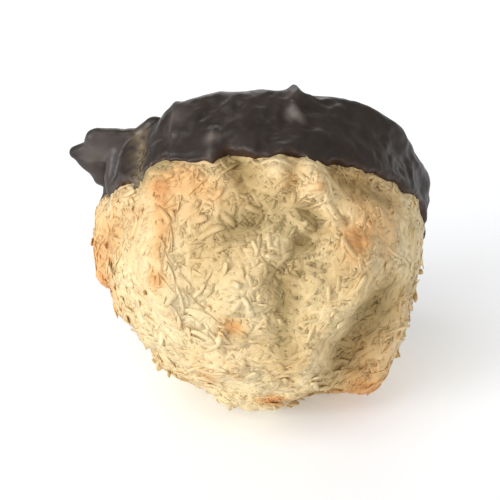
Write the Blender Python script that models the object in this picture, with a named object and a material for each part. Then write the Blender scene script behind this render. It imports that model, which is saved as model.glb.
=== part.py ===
"""A coconut macaroon dipped in chocolate, lying on its side as it would on a table.

Two solids: the baked coconut mound, with shreds fused to its craggy dome, and the
chocolate coating that wraps its base and runs out into a foot. Both are modelled upright
in the macaroon's own frame, base down, and an empty then lays them on the floor.
"""

import math
import random

import bmesh
import bpy
import numpy as np
from mathutils import Matrix, Vector, noise

MM = 0.001
UP = Vector((0, 0, 1))

# The bare form: a dome over a deep base, both round-shouldered, widest at height 0
HALF_WIDTH = 20.4 * MM
DOME_HEIGHT = 22.1 * MM
BASE_DEPTH = 6.8 * MM
DOME_POWER = 2.4
BASE_POWER = 5.0

# How the macaroon lies: its top leans this far below the level
LEAN = math.radians(20)
FLAT_DEPTH = 0.8 * MM

# The chocolate
COAT_OUT = 0.7 * MM
COAT_IN = 0.3 * MM
COAT_LIP = 0.5 * MM
COAT_UNDER = 1.1 * MM
DIP_RAGGED = 0.35 * MM
LUMP_SIZE = 3.0 * MM
LUMP_DEPTH = 0.45 * MM
COAT_COLUMNS = 90
COAT_ROWS = 13
ROW_CLOSENESS = 0.45
CLOSEST_COLUMNS = math.radians(45)
COLUMN_CLOSENESS = 0.42
LINING_ROWS = 5
CLEARANCE = 0.35 * MM
TRIM_REACH = 5.0 * MM

# Height of the chocolate's edge on the dome: turn round the axis from the raised side
# in degrees, then height in millimetres
DIP_EDGE = (
    (-180, -1.6),
    (-130, -1.2),
    (-100, -1.0),
    (-80, 0.2),
    (-45, 1.8),
    (-37, 2.6),
    (-27, 4.4),
    (-12, 3.9),
    (3, 4.6),
    (22, 4.3),
    (31, 2.9),
    (43, 1.5),
    (50, 2.4),
    (60, 0.9),
    (71, -0.6),
    (80, -1.8),
    (95, -2.1),
    (130, -1.6),
    (180, -1.6),
)

# The coconut
MOUND_POINTS = 1350
CRAG_SIZE = 7.0 * MM
CRAG_DEPTH = 0.8 * MM
GRAIN_SIZE = 2.6 * MM
GRAIN_DEPTH = 0.5 * MM
SHRED_PLACES = 385
SHRED_LENGTH = (3.2 * MM, 5.6 * MM)
SHRED_WIDTH = (0.9 * MM, 1.5 * MM)
SHRED_THICKNESS = 0.55 * MM
SHRED_MARGIN = 1.3 * MM
SEED = 11

# Lumps and hollows of the dome: turn and height as above, then reach and rise in
# millimetres
FORMS = (
    (-3, 8.0, 2.6, 1.3),
    (-15, 8.4, 2.4, 1.2),
    (20, 15.0, 6.5, 1.0),
    (43, 9.0, 2.2, 1.0),
    (52, 13.3, 2.2, 0.9),
    (59, 16.7, 2.4, 0.9),
    (-40, 16.0, 4.2, 1.1),
    (-50, 9.0, 4.5, 0.8),
    (-13.5, 13.6, 0.9, 0.9),
    (125, 22.0, 3.2, 0.7),
    (-110, 22.3, 2.6, 0.6),
    (-126, 15.0, 5.0, 2.4),
    (115, 13.0, 5.0, 0.9),
    (102, 8.4, 1.2, 1.3),
    (93, 3.0, 4.5, 1.1),
    (150, 5.0, 5.0, 0.7),
    (-140, 8.0, 5.0, 0.8),
    (180, 11.0, 6.0, 0.5),
    (72, 11.5, 4.6, -0.7),
    (-20, 13.6, 1.6, -1.8),
    (-20, 15.5, 1.4, -1.3),
    (13, 14.9, 1.8, -1.5),
    (-14, 17.6, 1.3, -1.1),
    (-9, 19.8, 1.5, -1.2),
    (-16, 22.2, 1.4, -0.9),
    (-150, 22.4, 1.4, -0.9),
    (47, 22.2, 1.3, -0.8),
    (90, 21.9, 1.3, -0.8),
    (-88, 20.4, 3.8, -1.5),
    (-149, 17.8, 1.7, -1.4),
    (140, 17.0, 2.2, -1.0),
    (-92, 9.0, 2.4, -1.2),
)

# The rim of the base: how far its chocolate flares out, at this height and half height
RIM_FLARE = 0.45 * MM
RIM_MIDDLE = -5.6 * MM
RIM_HALF = 1.3 * MM

# Where the rim runs out further: turn in degrees, then reach along the rim, height of
# its middle, half height and length in millimetres
FEET = (
    (58, 2.3, -4.5, 1.3, 4.3),
    (68, 1.5, -3.6, 1.1, 5.5),
    (30, 3.0, -5.6, 1.5, 0.8),
    (-12, 0.9, -5.6, 1.4, 1.0),
    (-80, 3.4, -4.6, 1.6, 0.9),
    (125, 3.0, -4.6, 1.6, 0.9),
    (180, 6.0, -5.0, 1.6, 1.2),
)


def turned(turn):
    """Unit vector in the base plane: from +Y, the raised side, towards -X."""
    return np.array((-math.sin(turn), math.cos(turn), 0.0))


def form_points(directions):
    """Points and outward normals of the bare form, one for each unit vector."""
    directions = np.asarray(directions, float)
    upper = directions[:, 2] >= 0
    power = np.where(upper, DOME_POWER, BASE_POWER)
    height = np.where(upper, DOME_HEIGHT, BASE_DEPTH)
    level = np.hypot(directions[:, 0], directions[:, 1])
    rise = np.abs(directions[:, 2])
    size = (level**power + rise**power) ** (1 / power)
    half = np.column_stack((np.full((len(size), 2), HALF_WIDTH), height))
    unit = directions / size[:, None]
    level_slope = (np.maximum(level / size, 1e-9)) ** (power - 2)
    slope = np.column_stack(
        (
            unit[:, 0] * level_slope,
            unit[:, 1] * level_slope,
            np.sign(unit[:, 2]) * np.abs(unit[:, 2]) ** (power - 1),
        )
    )
    normals = slope / half
    return unit * half, normals / np.linalg.norm(normals, axis=1)[:, None]


def direction_at(turn, height):
    """Unit vector whose form point stands at this height, at this turn."""
    full, power = (DOME_HEIGHT, DOME_POWER) if height >= 0 else (BASE_DEPTH, BASE_POWER)
    share = min(abs(height) / full, 0.999) ** power
    steep = math.copysign((share / (1 - share)) ** (1 / power), height)
    return (turned(turn) + np.array((0, 0, steep))) / math.hypot(1, steep)


def noise_at(points, size, shift=0.0):
    """Smooth noise from -1 to 1 at each point, with features of about this size."""
    offset = Vector((shift, 2 * shift, -shift))
    return np.array([noise.noise(Vector(p) / size + offset) for p in points])


def form_centres():
    """(centre, reach, rise) of each lump and hollow, in metres."""
    found = []
    for turn, height, reach, rise in FORMS:
        centre, _ = form_points([direction_at(math.radians(turn), height * MM)])
        found.append((centre[0], reach * MM, rise * MM))
    return found


def crags(points):
    """How far the baked surface stands out from the bare form at each point."""
    out = CRAG_DEPTH * noise_at(points, CRAG_SIZE, 3.7)
    out += GRAIN_DEPTH * noise_at(points, GRAIN_SIZE, 9.1)
    for centre, reach, rise in form_centres():
        away = np.linalg.norm(points - centre, axis=1) / reach
        out += rise * np.exp(-0.5 * away**2)
    return out


def dip_height(turn):
    """Height of the chocolate's ragged edge at this turn round the axis."""
    ragged = 0.6 * math.sin(13 * turn + 2.1) + 0.6 * math.sin(19 * turn + 4.0)
    ragged += 0.5 * math.sin(29 * turn + 1.2)
    degrees = (math.degrees(turn) + 180) % 360 - 180
    return np.interp(degrees, *zip(*DIP_EDGE)) * MM + DIP_RAGGED * ragged


def mesh_object(name, vertices, faces):
    """A new mesh object in the scene, with its faces turned outwards."""
    mesh = bpy.data.meshes.new(name)
    mesh.from_pydata([tuple(v) for v in vertices], [], faces)
    work = bmesh.new()
    work.from_mesh(mesh)
    bmesh.ops.recalc_face_normals(work, faces=work.faces)
    work.to_mesh(mesh)
    work.free()
    made = bpy.data.objects.new(name, mesh)
    bpy.context.scene.collection.objects.link(made)
    return made


def even_directions(count, closeness=1.0):
    """Unit vectors along a golden spiral, closer together on the dome by this power."""
    golden = math.pi * (3 - math.sqrt(5))
    share = (np.arange(count) + 0.5) / count
    height = 1 - 2 * share**closeness
    level = np.sqrt(1 - height**2)
    angle = golden * np.arange(count)
    return np.column_stack((level * np.cos(angle), level * np.sin(angle), height))


def sphere_faces(directions):
    """Triangles that join unit vectors into a closed ball, as the hull of their ends."""
    work = bmesh.new()
    made = [work.verts.new(d) for d in directions]
    work.verts.index_update()
    order = {v: i for i, v in enumerate(made)}
    bmesh.ops.convex_hull(work, input=work.verts)
    faces = [tuple(order[v] for v in face.verts) for face in work.faces]
    work.free()
    return faces


def mound_core():
    """The coconut mound without its shreds."""
    directions = even_directions(MOUND_POINTS, 1.3)
    points, normals = form_points(directions)
    surface = points + crags(points)[:, None] * normals
    return mesh_object("coconut_mound", surface, sphere_faces(directions))


def shred(name, foot, along, up, length, width, rng):
    """One strip of coconut: bent, sunk into the mound at one end and lifted at the other."""
    side = along.cross(up).normalized()
    lift = rng.uniform(0.4, 1.0) * MM
    bow = rng.uniform(0.1, 0.5) * MM
    sunk = 0.5 * MM
    spine = (
        foot - along * length / 2 - up * sunk,
        foot + up * (0.5 * (lift - sunk) + bow),
        foot + along * length / 2 + up * lift,
    )
    vertices = []
    for share, centre in zip((1.0, 1.0, 0.7), spine):
        across = side * width * share / 2
        over = up * SHRED_THICKNESS / 2
        vertices += [
            centre - across - over,
            centre + across - over,
            centre + across + over,
            centre - across + over,
        ]
    rings = [range(4 * i, 4 * i + 4) for i in range(len(spine))]
    faces = [tuple(rings[0]), tuple(rings[-1])]
    for low, high in zip(rings, rings[1:]):
        faces += [(low[i], low[(i + 1) % 4], high[(i + 1) % 4], high[i]) for i in range(4)]
    return mesh_object(name, vertices, faces)


def scattered_shreds():
    """Strips of coconut spread evenly over the dome, clear of the chocolate."""
    rng = random.Random(SEED)
    made = []
    for direction in even_directions(SHRED_PLACES):
        points, normals = form_points([direction])
        turn = math.atan2(-direction[0], direction[1])
        if points[0][2] < dip_height(turn) + SHRED_MARGIN:
            continue
        up = Vector(normals[0])
        foot = Vector(points[0]) + up * float(crags(points)[0])
        slant = rng.uniform(0, 2 * math.pi)
        along = Matrix.Rotation(slant, 3, up) @ up.orthogonal().normalized()
        length = rng.uniform(*SHRED_LENGTH)
        width = rng.uniform(*SHRED_WIDTH)
        made.append(shred(f"shred_{len(made)}", foot, along, up, length, width, rng))
    return made


def applied(thing):
    """Gives the object the mesh that its modifiers make, and removes them."""
    bpy.context.view_layer.update()
    graph = bpy.context.evaluated_depsgraph_get()
    mesh = bpy.data.meshes.new_from_object(thing.evaluated_get(graph))
    thing.modifiers.clear()
    thing.data = mesh


def joined_with(thing, others):
    """Fuses the other objects to the first one, and removes them."""
    group = bpy.data.collections.new("fused")
    for other in others:
        group.objects.link(other)
    union = thing.modifiers.new("Fuse", "BOOLEAN")
    union.operation = "UNION"
    union.operand_type = "COLLECTION"
    union.collection = group
    applied(thing)
    for other in others:
        bpy.data.objects.remove(other)
    bpy.data.collections.remove(group)


def cut_by(thing, cutter):
    """Takes the cutter's shape out of the object."""
    cut = thing.modifiers.new("Cut", "BOOLEAN")
    cut.operation = "DIFFERENCE"
    cut.object = cutter
    applied(thing)


def foot_reach(points):
    """How far the chocolate's foot runs out, level, from each point of its rim."""
    out = RIM_FLARE * np.exp(-0.5 * ((points[:, 2] - RIM_MIDDLE) / RIM_HALF) ** 2)
    angles = np.arctan2(-points[:, 0], points[:, 1])
    round_rim = np.hypot(points[:, 0], points[:, 1])
    for turn, reach, middle, half, length in FEET:
        apart = (angles - math.radians(turn) + math.pi) % (2 * math.pi) - math.pi
        beside = apart * round_rim / (reach * MM)
        above = (points[:, 2] - middle * MM) / (half * MM)
        out += length * MM * np.exp(-0.45 * (beside**2 + above**2) ** 1.4)
    return out


def coat_sheet(rows, offset, grow):
    """A cup of points round the base, from the base's middle to the dip's edge.

    The offset function gives the distance from the bare form, from the points and their
    share of the way to the edge. The edge is moved up the dome by grow.
    """
    vertices, shares = [], []
    for column in range(COAT_COLUMNS):
        turn = 2 * math.pi * column / COAT_COLUMNS
        turn -= COLUMN_CLOSENESS * math.sin(turn - CLOSEST_COLUMNS)
        top = direction_at(turn, dip_height(turn) + grow)
        end = math.pi / 2 + math.asin(top[2])
        for row in range(1, rows + 1):
            share = row / rows
            tilt = end * share**ROW_CLOSENESS
            level = math.sin(tilt)
            vertices.append(turned(turn) * level - np.array((0, 0, math.cos(tilt))))
            shares.append(share)
    vertices.append(np.array((0.0, 0.0, -1.0)))
    shares.append(0.0)
    points, normals = form_points(vertices)
    return offset(points, normals, np.array(shares))


def cup(name, outer, outer_rows, inner, inner_rows):
    """A closed shell from an outer and an inner sheet of points, joined at their edge."""
    inner_start = len(outer)
    faces = []

    def at(start, rows, column, row):
        return start + (column % COAT_COLUMNS) * rows + row

    for start, rows in ((0, outer_rows), (inner_start, inner_rows)):
        middle = start + rows * COAT_COLUMNS
        for column in range(COAT_COLUMNS):
            faces.append((middle, at(start, rows, column, 0), at(start, rows, column + 1, 0)))
            for row in range(rows - 1):
                near, far = at(start, rows, column, row), at(start, rows, column + 1, row)
                faces.append((near, near + 1, far + 1, far))
    for column in range(COAT_COLUMNS):
        faces.append(
            (
                at(0, outer_rows, column, outer_rows - 1),
                at(inner_start, inner_rows, column, inner_rows - 1),
                at(inner_start, inner_rows, column + 1, inner_rows - 1),
                at(0, outer_rows, column + 1, outer_rows - 1),
            )
        )
    return mesh_object(name, np.vstack((outer, inner)), faces)


def coat_outside(points, normals, shares):
    """The chocolate's outer face: lumpy on the flank, nearly flat underneath, with a foot."""
    flank = np.clip((points[:, 2] + BASE_DEPTH) / (0.4 * BASE_DEPTH), 0, 1)
    lumps = LUMP_DEPTH * noise_at(points, LUMP_SIZE, 5.3)
    lumps += 0.5 * LUMP_DEPTH * noise_at(points, 0.55 * LUMP_SIZE, 1.9)
    thick = COAT_UNDER + (COAT_OUT - COAT_UNDER) * flank + lumps * (0.25 + 0.75 * flank)
    edge = np.clip((shares - 0.8) / 0.2, 0, 1)
    thick += (COAT_LIP - thick) * edge**2
    level = points * (1, 1, 0)
    level /= np.maximum(np.linalg.norm(level, axis=1), 1e-9)[:, None]
    return points + normals * thick[:, None] + level * foot_reach(points)[:, None]


def inward(distance):
    """An offset function for a smooth sheet this far inside the bare form."""
    return lambda points, normals, shares: points - normals * distance


def chocolate_coating():
    """The shell of chocolate round the base."""
    outer = coat_sheet(COAT_ROWS, coat_outside, 0)
    lining = coat_sheet(LINING_ROWS, inward(COAT_IN), 0)
    return cup("chocolate_coating", outer, COAT_ROWS, lining, LINING_ROWS)


def coat_trimmer():
    """What is taken from the mound so that the chocolate fits round it with a gap."""
    outer = coat_sheet(LINING_ROWS, inward(-TRIM_REACH), CLEARANCE)
    inner = coat_sheet(LINING_ROWS, inward(COAT_IN + CLEARANCE), CLEARANCE)
    return cup("coat_trimmer", outer, LINING_ROWS, inner, LINING_ROWS)


def floor_trimmer():
    """A block under the floor that flattens what would reach below it."""
    made = mesh_object("floor_trimmer", *box(60 * MM, 60 * MM, 12 * MM))
    made.location = (0, 0, -6 * MM)
    return made


def box(width, depth, height):
    """Vertices and faces of a box about the origin."""
    half = Vector((width, depth, height)) / 2
    signs = (-1, 1)
    corners = [(x * half.x, y * half.y, z * half.z) for x in signs for y in signs for z in signs]
    faces = [(0, 1, 3, 2), (4, 6, 7, 5), (0, 4, 5, 1), (2, 3, 7, 6), (0, 2, 6, 4), (1, 5, 7, 3)]
    return corners, faces


def without_scraps(thing):
    """Keeps only the largest connected body of the object."""
    work = bmesh.new()
    work.from_mesh(thing.data)
    unseen = set(work.verts)
    bodies = []
    while unseen:
        body, edge = set(), [unseen.pop()]
        while edge:
            here = edge.pop()
            body.add(here)
            for link in here.link_edges:
                there = link.other_vert(here)
                if there in unseen:
                    unseen.remove(there)
                    edge.append(there)
        bodies.append(body)
    largest = max(bodies, key=len)
    loose = [v for v in work.verts if v not in largest]
    bmesh.ops.delete(work, geom=loose, context="VERTS")
    work.to_mesh(thing.data)
    work.free()


def lying_pose():
    """The empty that lays the macaroon down, with its flank a little below the floor."""
    pose = bpy.data.objects.new("lying_pose", None)
    bpy.context.scene.collection.objects.link(pose)
    rotation = Matrix.Rotation(math.pi / 2 + LEAN, 3, "X")
    points, _ = form_points(even_directions(4000))
    lowest = min((rotation @ Vector(p)).z for p in points)
    pose.rotation_euler = rotation.to_euler()
    pose.location = (0, 0, -lowest - FLAT_DEPTH)
    return pose


def material(name, colour, roughness):
    made = bpy.data.materials.new(name)
    made.use_nodes = True
    shader = made.node_tree.nodes["Principled BSDF"]
    shader.inputs["Base Color"].default_value = (*colour, 1)
    shader.inputs["Roughness"].default_value = roughness
    shader.inputs["Metallic"].default_value = 0
    return made


def main():
    for old in list(bpy.data.objects):
        bpy.data.objects.remove(old)

    mound = mound_core()
    joined_with(mound, scattered_shreds())
    trimmer = coat_trimmer()
    cut_by(mound, trimmer)
    bpy.data.objects.remove(trimmer)
    coating = chocolate_coating()

    pose = lying_pose()
    for piece in (mound, coating):
        piece.parent = pose
    floor = floor_trimmer()
    cut_by(mound, floor)
    without_scraps(mound)
    bpy.data.objects.remove(floor)

    bpy.context.view_layer.update()
    corners = [piece.matrix_world @ v.co for piece in (mound, coating) for v in piece.data.vertices]
    for side in (0, 1):
        values = [corner[side] for corner in corners]
        pose.location[side] -= (min(values) + max(values)) / 2

    mound.data.materials.clear()
    mound.data.materials.append(material("baked_coconut", (0.80, 0.63, 0.36), 0.6))
    coating.data.materials.clear()
    coating.data.materials.append(material("dark_chocolate", (0.040, 0.026, 0.020), 0.4))


main()
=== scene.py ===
import math

import bmesh
import bpy
import numpy as np
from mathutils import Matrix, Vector, noise


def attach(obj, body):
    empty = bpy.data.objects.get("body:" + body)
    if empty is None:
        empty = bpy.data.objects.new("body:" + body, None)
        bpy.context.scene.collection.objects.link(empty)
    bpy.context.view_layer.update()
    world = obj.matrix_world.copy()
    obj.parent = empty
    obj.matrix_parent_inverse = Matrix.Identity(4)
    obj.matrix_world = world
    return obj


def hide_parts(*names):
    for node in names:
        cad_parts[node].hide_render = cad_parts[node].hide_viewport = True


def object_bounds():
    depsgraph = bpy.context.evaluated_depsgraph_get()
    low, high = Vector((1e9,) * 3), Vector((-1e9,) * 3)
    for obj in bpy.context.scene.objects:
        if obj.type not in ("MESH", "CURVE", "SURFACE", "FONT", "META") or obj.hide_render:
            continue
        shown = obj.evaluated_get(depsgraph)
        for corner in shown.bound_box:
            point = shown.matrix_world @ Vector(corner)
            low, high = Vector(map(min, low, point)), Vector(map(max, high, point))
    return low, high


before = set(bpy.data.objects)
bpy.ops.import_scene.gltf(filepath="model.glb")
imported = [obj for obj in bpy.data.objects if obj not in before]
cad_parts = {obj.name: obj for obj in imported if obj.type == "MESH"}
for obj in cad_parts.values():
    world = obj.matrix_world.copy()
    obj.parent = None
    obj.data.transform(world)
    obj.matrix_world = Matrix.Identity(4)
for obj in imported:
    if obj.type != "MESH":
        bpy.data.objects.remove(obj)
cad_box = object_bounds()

# Lengths are in millimetres and are made metres where a mesh is written
MM = 0.001

# The bare form: a dome over a deep base, widest at height 0, with its middle here
HALF_WIDTH = 20.4
DOME_HEIGHT = 22.1
BASE_DEPTH = 6.8
DOME_POWER = 2.4
BASE_POWER = 5.0
LEAN = math.radians(20)
MIDDLE = np.array((1.858, 5.510, 20.542))

# The visual model keeps this far inside the solid model's box
BOX_GAP = 0.02

# The way that the front faces, in the macaroon's own frame, and how far it takes to fade
FRONT_Y = 0.64
FRONT_Z = 0.77
FRONT_FADE = 6.0

# How finely the bare balls are divided, and the sizes of the cells that pieces melt into
FORM_DETAIL = 7
DROP_DETAIL = 4
MASS_CELL = 0.235
COAT_CELL = 0.22

# The chocolate's edge on the dome: turn from the raised side in degrees, then height
DIP_EDGE = (
    (-180, -1.6),
    (-130, -1.2),
    (-100, -0.8),
    (-75, 0.8),
    (-48, 3.2),
    (-39, 4.4),
    (-35, 4.3),
    (-29, 4.2),
    (-25, 4.5),
    (-22, 5.4),
    (-17, 6.6),
    (-13, 5.3),
    (-9, 4.8),
    (-3, 5.4),
    (3, 5.7),
    (6, 5.5),
    (10, 4.5),
    (14, 3.9),
    (16, 4.9),
    (18.5, 6.6),
    (21.5, 5.6),
    (25, 5.1),
    (28, 4.7),
    (33, 3.9),
    (37, 3.4),
    (44, 3.1),
    (53, 3.2),
    (59, 1.4),
    (66, 0.4),
    (73, -0.7),
    (79, -2.5),
    (88, -3.3),
    (98, -2.8),
    (130, -1.6),
    (180, -1.6),
)
DIP_RAGGED = 0.35

# Waves of the ragged edge: height, waves round the axis and shift
DIP_WAVES = (
    (0.6, 13, 2.1),
    (0.6, 19, 4.0),
    (0.5, 29, 1.2),
)

# The edge is more ragged from this turn on, away from the front
WILDER_FROM = 70
WILDER_OVER = 40
WILDER_BY = 1.5

# The turn at which shreds show through thin chocolate, between the coat and its foot,
# how many degrees wide that strip is, and where it starts above the base
THIN_STRIP = 50.5
STRIP_WIDTH = 3.6
STRIP_START = -5.6
STRIP_FADE = 1.2

# The edge dips a little at the strip
NOTCH_DEPTH = 0.5
NOTCH_WIDTH = 3.1

# The dome's skin is a mass of clumps with wandering folds between them
CLUMP_SIZE = 5.2
CREASE_DEPTH = 0.5
CREASE_WIDTH = 0.16
CREASE_WANDER = 0.25
WANDER_SIZE = 3.0
SHALLOWER_IN_FRONT = 0.6
CREASE_SEED = 7

# Layers of noise are given as depth or strength, size of the features and shift
CRAG_LAYERS = ((0.6, 7.0, 3.7), (0.4, 2.6, 9.1))
TOAST_LAYERS = ((0.18, 5.5, 21.3), (0.10, 2.2, 33.9))
EDGE_LAYERS = ((0.35, 1.7, 12.1), (0.25, 0.8, 6.6))
COAT_LUMP_LAYERS = ((0.45, 3.0, 5.3), (0.22, 1.65, 1.9))

# Coconut is this brown where nothing marks it, and browner on crags and on what stands out
PLAIN_TOAST = 0.20
TOAST_ON_CRAGS = 0.07
TOAST_STANDING_OUT = 0.15

# Painted shade of the plain surface, and how it changes with height, hollows and crags: darker
# deeper down and lower
PLAIN_PAINTED_SHADE = 0.34
PAINTED_SHADE_BY_HEIGHT = -0.30
PAINTED_SHADE_BY_SUNKEN = 0.62
PAINTED_SHADE_BY_CRAG = -0.06

# Painted shade reaches this much wider than the named hollows are
PAINTED_SHADE_SPREAD = 1.15

# Crests are rounded off at the top and fall away by this power
CREST_ROUND = 0.25
CREST_POWER = 1.2

# Sets of coconut strips: how many are tried, how deep or proud of the surface their middles
# lie, how far their ends lift, how closely they follow the surface, and their sizes
SUNKEN_SHREDS = dict(
    count=5600,
    seed=5,
    sunk=-0.34,
    proud=-0.11,
    lift=0.18,
    drape=0.94,
    width=(0.7, 1.4),
    length=(2.0, 5.0),
    deep=(0.28, 0.44),
)
LYING_SHREDS = dict(
    count=4400,
    seed=21,
    sunk=-0.12,
    proud=0.06,
    lift=0.16,
    drape=0.95,
    width=(0.6, 1.2),
    length=(1.6, 4.6),
    deep=(0.09, 0.15),
)
FINE_SHREDS = dict(
    count=9000,
    seed=23,
    sunk=-0.06,
    proud=0.08,
    lift=0.10,
    drape=0.97,
    width=(0.35, 0.8),
    length=(1.1, 2.8),
    deep=(0.08, 0.13),
    rings=3,
)
PROUD_SHREDS = dict(
    count=300,
    seed=22,
    sunk=0.0,
    proud=0.25,
    lift=0.7,
    drape=0.8,
    width=(0.5, 1.1),
    length=(1.6, 4.4),
    deep=(0.11, 0.21),
)
DIPPED_SHREDS = dict(
    count=200,
    seed=24,
    sunk=0.05,
    proud=0.36,
    lift=0.2,
    drape=0.92,
    width=(0.5, 1.0),
    length=(1.0, 2.6),
    deep=(0.12, 0.22),
    dipped=True,
)

# How unevenly strips lie: curl of the ends, sideways bend, and roll and twist in radians
CURL = (-0.1, 0.5)
BEND = 0.09
ROLL = 0.2
TWIST = 0.25
TAPER = 0.35

# How browning varies from strip to strip, with their height and at tips this high
TOAST_BY_CHANCE = 0.08
TOAST_ON_HIGH_STRIPS = 0.12
TOAST_AT_RAISED_TIPS = 0.06
RAISED = 0.2

# Strips start this far above the chocolate's edge, and none hangs lower than this past it.
# Dipped ones may, where the chocolate is this smeared
CLEAR_OF_DIP = 0.1
DIPPED_REACH = 7.0
MOSTLY_SMEARED = 0.45
PARTLY_SMEARED = 0.3
LEAST_PATCHY = 0.3

# Strips may pass the solid model's box by this much before they are pushed back
BOX_SLACK = 0.1

# The mass of coconut ends this far under the chocolate's edge, and its core lies this deep.
# Its points vary in shade by this noise
MASS_UNDER_DIP = 1.8
CORE_DEPTH = 0.16
MASS_SHADES = (0.5, 0.8, 4.4)

# Lumps and hollows of the dome: turn, height, reach and rise
FORMS = (
    (-5, 8.4, 1.8, 1.5),
    (-16.5, 8.2, 2.1, 1.4),
    (23, 7.0, 2.6, 0.7),
    (50.5, -1.0, 1.6, -0.7),
    (11, 17.0, 2.4, 1.0),
    (66, 8.0, 3.2, -0.6),
    (-40, 16.0, 4.2, 1.0),
    (-46, 10.8, 4.0, 0.8),
    (-22, 9.6, 1.1, 0.6),
    (112, 21.8, 3.2, 0.5),
    (-140, 22.08, 2.2, 0.8),
    (-130, 15.0, 4.6, 2.0),
    (110, 16.0, 3.6, -0.5),
    (97.5, 6.0, 0.8, 1.1),
    (101, 7.8, 0.8, -0.8),
    (104.5, 9.8, 2.0, 0.5),
    (116.5, 12.9, 1.9, -1.2),
    (87, -1.5, 2.0, 0.5),
    (157, 17.6, 1.6, -0.6),
    (-172, 18.0, 2.2, 0.7),
    (-131, 15.6, 1.8, 0.9),
    (90, 0.8, 2.6, 0.6),
    (93, 3.5, 3.6, 0.9),
    (90, 7.0, 3.2, 0.3),
    (150, 5.0, 5.0, 0.7),
    (155, 19.5, 2.6, 0.7),
    (-140, 8.0, 5.0, 0.8),
    (180, 11.0, 6.0, 0.5),
    (-14.5, 12.6, 0.9, 1.1),
    (-150, 22.4, 1.4, -0.5),
    (47, 22.2, 1.3, -0.2),
    (-147, 17.8, 2.6, -2.2),
    (140, 17.0, 2.2, -1.0),
    (-92, 9.0, 2.4, -1.2),
)

# Crests and troughs of the dome: half width, rise, then turn and height along the line
FOLDS = (
    (5.4, 2.4, (39, 6.4), (38, 8.3), (38, 10.4), (43, 12.7), (48, 14.3), (52, 16.0), (53, 17.5)),
    (4.0, 0.9, (53, 17.5), (60, 19.2), (67, 20.6), (93, 21.6)),
    (3.4, 1.2, (-40, 15.0), (-48, 17.8), (-46, 19.9), (-52, 21.4), (-90, 21.9)),
    (2.4, -0.65, (14, 14.8), (9, 14.6), (5, 14.2)),
    (1.7, -1.15, (-16, 12.0), (-21, 12.4), (-24, 13.7), (-21, 15.0), (-16, 15.4)),
    (2.0, -0.9, (-20, 15.2), (-15, 16.4), (-15, 17.1), (-18, 17.8)),
    (2.8, -1.0, (-6, 18.8), (-13, 19.7), (-18, 20.4)),
    (4.2, -0.9, (10, 12.6), (-3, 12.0), (-12, 12.8)),
    (1.6, -0.8, (-10, 5.0), (-10, 9.4)),
    (2.6, -1.2, (12, 5.2), (9, 7.0), (6, 8.6)),
    (3.2, -1.3, (-27, 6.4), (-34, 6.8), (-42, 6.4), (-54, 5.6)),
    (6.8, -1.9, (-74, 16.6), (-86, 18.4), (-106, 19.4)),
    (2.2, -0.6, (-14, 21.1), (-80, 21.95), (-146, 21.8)),
)

# Where the chocolate's rim runs out falls off at this rate, and is this square
RUN_OUT_RATE = 0.45
RUN_OUT_SQUARE = 1.4

# Where the chocolate's rim runs out: turn, reach, height, half height and length
FEET = (
    (28, 3.0, -5.6, 1.5, 0.8),
    (-10.8, 0.65, -5.6, 1.3, 0.60),
    (-46, 4.6, -5.4, 1.7, 1.6),
    (-80, 3.4, -4.6, 1.6, 0.9),
    (125, 3.0, -4.6, 1.6, 0.9),
    (180, 6.0, -5.0, 1.6, 0.6),
)

# The foot's own drops, along each run: turn, distance from the axis, height and radius
FOOT = (
    ((50, 16.0, -5.6, 2.4), (60, 17.0, -5.4, 3.2), (70, 17.5, -5.4, 3.0), (78, 17.0, -5.4, 2.4)),
    ((56, 18.6, -5.7, 2.2), (61, 20.2, -5.6, 2.8), (66, 22.2, -5.8, 2.55), (70, 23.8, -6.0, 1.9)),
    ((61, 20.4, -5.6, 2.7), (63.8, 23.5, -6.0, 2.1)),
    ((70, 23.8, -6.0, 1.8), (72, 25.5, -6.2, 0.95)),
    (
        (72, 25.2, -6.1, 0.95),
        (74, 23.5, -5.9, 1.4),
        (75.5, 22.2, -5.7, 1.5),
        (78, 20.9, -5.2, 1.75),
    ),
    ((64, 20.2, -4.6, 2.2), (70, 20.2, -2.6, 1.6), (74, 20.3, -1.4, 0.8)),
    ((56, 18.6, -5.7, 2.2), (50, 19.0, -5.8, 1.8), (46.5, 19.4, -5.9, 1.4)),
    ((68, 21.4, -5.9, 1.8), (73.5, 21.8, -5.9, 1.5)),
    ((58, 18.4, -6.2, 1.8), (66, 19.2, -6.3, 2.1), (76, 18.8, -6.2, 1.9)),
)

# How many drops melt together along each run, how flat they are and how uneven
DROPS_PER_RUN = 7
FLATTENED = 0.35
LEAST_FLAT = 0.5
DROP_WOBBLE = (0.10, 1.3, 2.7)

# Lumps of the chocolate: turn, height, reach and rise
COAT_LUMPS = (
    (42, -6.0, 1.5, -1.9),
    (36.5, -6.2, 1.2, 0.7),
    (34, -2.0, 1.6, 0.5),
    (5, -2.5, 2.0, 0.4),
    (-28, -2.0, 2.4, 0.3),
    (92, -3.5, 4.5, -0.45),
)

# The chocolate's thickness on the base and how much less it is on the flank, which starts
# after this share of the base's depth
COAT_THICKNESS = 1.1
THINNER_ON_FLANK = 0.45
FLANK_AFTER = 0.4

# The flank is lumpy, with ridges and fine lumps, and the base is nearly smooth, with
# ripples and, drawn out along one way, runs
RIDGE_LEVEL = 0.10
RIDGES = (0.32, 1.4, 8.8)
FINE_LUMPS = (0.08, 0.7, 2.2)
LUMPS_ON_BASE = 0.1
RIPPLES = (0.30, 5.0, 3.3)
RUNS = (0.16, 1.9, 7.7)
RUNS_DRAWN_OUT = (1, 0.4, 1)

# How far the chocolate follows the crags that it covers
COAT_ON_CRAGS = 0.35

# Where it is smeared thin: how much of it is missing, and the shreds' rise through it
SMEARED_SHARE = 0.8
THROUGH_LEVEL = 0.2
THROUGH = (0.25, 0.8, 3.8)

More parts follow.
